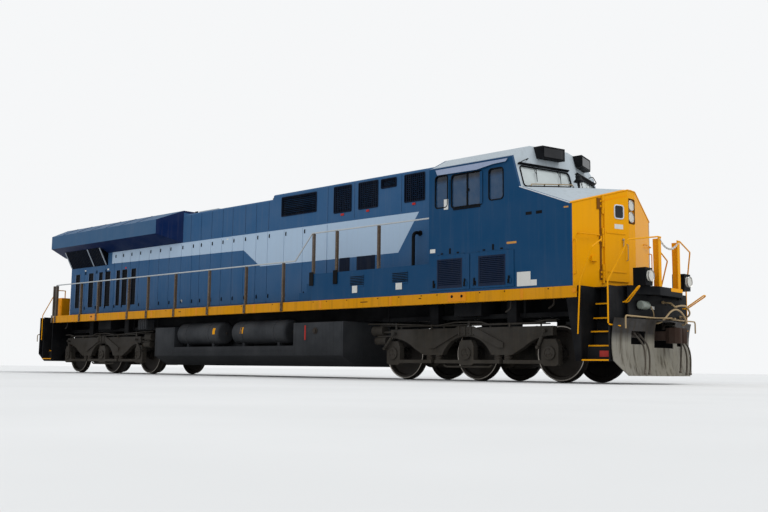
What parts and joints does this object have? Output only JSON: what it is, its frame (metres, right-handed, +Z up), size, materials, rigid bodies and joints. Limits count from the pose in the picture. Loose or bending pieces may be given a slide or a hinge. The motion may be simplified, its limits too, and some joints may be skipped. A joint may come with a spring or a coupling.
{
  "type": "diesel locomotive",
  "caption": "Freight diesel locomotive with a wide faceted nose, side walkways, winged radiator, fuel tank and plow.",
  "frame": {"origin": "on the plane of the flange tips, under the middle of the length over couplers", "axes": "+X towards the nose, +Y to the left side, +Z up"},
  "size_m": [22.24, 3.1224, 4.8],
  "materials": {
    "navy_paint": "gloss paint",
    "wing_paint": "satin paint",
    "yellow_paint": "gloss paint",
    "grey_paint": "satin paint",
    "rail_paint": "satin paint",
    "black_paint": "dusty paint",
    "tank_paint": "dusty paint",
    "plow_paint": "worn paint",
    "truck_metal": "dusty cast steel",
    "wheel_steel": "worn steel",
    "engine_iron": "cast",
    "window_glass": "tinted",
    "lamp_glass": "clear",
    "interior_trim": "matt",
    "hose_rubber": "matt",
    "coupling_metal": "cast"
  },
  "bodies": {
    "locomotive_body": {"air_reservoirs": "tank_paint", "brake_hose": "hose_rubber", "cab_awnings": "navy_paint", "cab_glass": "window_glass", "cab_interior": "interior_trim", "cab_rear_wall": "navy_paint", "cab_roof": "grey_paint", "cab_side_left": "navy_paint", "cab_side_right": "navy_paint", "cut_levers": "black_paint", "end_handrails": "yellow_paint", "engine_block": "engine_iron", "engine_hood": "navy_paint", "equipment_cab": "navy_paint", "front_plow": "plow_paint", "fuel_tank": "tank_paint", "hood_doors": "navy_paint", "hose_couplings": "coupling_metal", "hose_fittings": "black_paint", "lamps": "lamp_glass", "mu_hose_left_inner": "hose_rubber", "mu_hose_left_outer": "hose_rubber", "mu_hose_right_inner": "hose_rubber", "mu_hose_right_outer": "hose_rubber", "nose_front": "yellow_paint", "nose_top": "grey_paint", "number_boards": "black_paint", "pilot_plates": "black_paint", "radiator_cab": "navy_paint", "radiator_screens": "black_paint", "radiator_wings": "wing_paint", "roof_fittings": "wing_paint", "side_grilles": "black_paint", "side_handrails": "rail_paint", "side_sills": "yellow_paint", "step_wells": "black_paint", "underframe": "black_paint", "walkway_cabinets": "navy_paint", "windshield_frame": "grey_paint"},
    "nose_door": {"nose_door": "yellow_paint"},
    "cab_rear_door": {"cab_rear_door": "navy_paint"},
    "battery_door_rear": {"battery_door_rear": "navy_paint"},
    "battery_door_front": {"battery_door_front": "navy_paint"},
    "coupler_front": {"coupler_front": "black_paint"},
    "coupler_rear": {"coupler_rear": "black_paint"},
    "truck_front": {"truck_frame_front": "truck_metal", "axle_boxes_front": "truck_metal", "traction_motors_front": "truck_metal", "brake_gear_front": "truck_metal"},
    "truck_rear": {"truck_frame_rear": "truck_metal", "axle_boxes_rear": "truck_metal", "traction_motors_rear": "truck_metal", "brake_gear_rear": "truck_metal"},
    "wheelset_1": {"wheelset_1": "wheel_steel"},
    "wheelset_2": {"wheelset_2": "wheel_steel"},
    "wheelset_3": {"wheelset_3": "wheel_steel"},
    "wheelset_4": {"wheelset_4": "wheel_steel"},
    "wheelset_5": {"wheelset_5": "wheel_steel"},
    "wheelset_6": {"wheelset_6": "wheel_steel"}
  },
  "joints": [
    {"name": "truck_front_swivel", "type": "hinge", "parent": "locomotive_body", "child": "truck_front", "pos_m": [6.992, 0, 1.1], "axis": [0, 0, 1], "range_deg": [-5, 5]},
    {"name": "truck_rear_swivel", "type": "hinge", "parent": "locomotive_body", "child": "truck_rear", "pos_m": [-6.992, 0, 1.1], "axis": [0, 0, 1], "range_deg": [-5, 5]},
    {"name": "wheelset_1_roll", "type": "hinge", "parent": "truck_front", "child": "wheelset_1", "pos_m": [8.999, 0, 0.561], "axis": [0, 1, 0], "continuous": true},
    {"name": "wheelset_2_roll", "type": "hinge", "parent": "truck_front", "child": "wheelset_2", "pos_m": [6.992, 0, 0.561], "axis": [0, 1, 0], "continuous": true},
    {"name": "wheelset_3_roll", "type": "hinge", "parent": "truck_front", "child": "wheelset_3", "pos_m": [4.985, 0, 0.561], "axis": [0, 1, 0], "continuous": true},
    {"name": "wheelset_4_roll", "type": "hinge", "parent": "truck_rear", "child": "wheelset_4", "pos_m": [-4.985, 0, 0.561], "axis": [0, 1, 0], "continuous": true},
    {"name": "wheelset_5_roll", "type": "hinge", "parent": "truck_rear", "child": "wheelset_5", "pos_m": [-6.992, 0, 0.561], "axis": [0, 1, 0], "continuous": true},
    {"name": "wheelset_6_roll", "type": "hinge", "parent": "truck_rear", "child": "wheelset_6", "pos_m": [-8.999, 0, 0.561], "axis": [0, 1, 0], "continuous": true},
    {"name": "coupler_front_swing", "type": "hinge", "parent": "locomotive_body", "child": "coupler_front", "pos_m": [10, 0, 0.898], "axis": [0, 0, 1], "range_deg": [-7, 7]},
    {"name": "coupler_rear_swing", "type": "hinge", "parent": "locomotive_body", "child": "coupler_rear", "pos_m": [-10, 0, 0.898], "axis": [0, 0, 1], "range_deg": [-7, 7]},
    {"name": "nose_door_hinge", "type": "hinge", "parent": "locomotive_body", "child": "nose_door", "pos_m": [9.92767, -0.77468, 2.7], "axis": [0, 0, -1], "range_deg": [0, 100]},
    {"name": "cab_rear_door_hinge", "type": "hinge", "parent": "locomotive_body", "child": "cab_rear_door", "pos_m": [6.245, -1.462, 3.4], "axis": [0, 0, 1], "range_deg": [0, 90]},
    {"name": "battery_door_rear_hinge", "type": "hinge", "parent": "locomotive_body", "child": "battery_door_rear", "pos_m": [6.8325, -1.5394, 2.565], "axis": [-1, 0, 0], "range_deg": [0, 90]},
    {"name": "battery_door_front_hinge", "type": "hinge", "parent": "locomotive_body", "child": "battery_door_front", "pos_m": [7.9, -1.5394, 2.565], "axis": [-1, 0, 0], "range_deg": [0, 90]}
  ]
}
